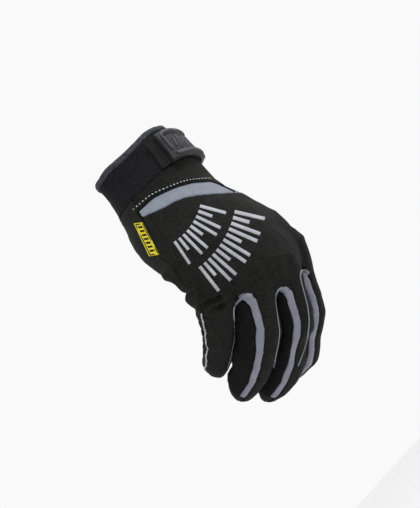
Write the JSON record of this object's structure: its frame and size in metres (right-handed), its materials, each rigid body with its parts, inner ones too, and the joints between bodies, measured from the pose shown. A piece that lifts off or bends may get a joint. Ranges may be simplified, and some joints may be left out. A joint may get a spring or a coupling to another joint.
{
  "type": "mechanic glove",
  "caption": "Right-hand work glove, back and palm panels, strips between bent fingers, crescent wrist band, bound cuff with strap and ribbed pull tab.",
  "frame": {"origin": "centre of the cuff's opening, where the hand goes in", "axes": "+Z out of the opening along the wrist, fingers point down along -Z, back of the hand faces -Y, thumb side faces +X"},
  "size_m": [0.1028, 0.1009, 0.1618],
  "materials": {
    "back_fabric": "matte stretch knit",
    "palm_suede": "brushed synthetic suede",
    "cuff_fabric": "smooth neoprene knit",
    "binding_tape": "woven grey tape",
    "band_fabric": "blue-grey coated knit",
    "side_fabric": "matte spandex",
    "trim_rubber": "satin grey",
    "piping_cord": "puckered light grey",
    "tag_tape": "woven yellow",
    "loop_pile": "fuzzy loop pile",
    "strap_webbing": "flat webbing",
    "tab_rubber": "satin moulded rubber"
  },
  "bodies": {
    "root": {"cuff": "cuff_fabric", "cuff_binding": "binding_tape", "wrist_panel": "back_fabric", "wrist_band": "band_fabric", "back_panel": "back_fabric", "palm_panel": "palm_suede", "thumb": "palm_suede", "fourchette_little_ring": "side_fabric", "fourchette_ring_middle": "side_fabric", "fourchette_middle_index": "side_fabric", "trim_little_ring": "trim_rubber", "trim_ring_middle": "trim_rubber", "trim_middle_index": "trim_rubber", "side_piping": "piping_cord", "side_tag": "tag_tape", "loop_patch": "loop_pile", "strap": "strap_webbing", "strap_tab": "tab_rubber"}
  },
  "joints": []
}
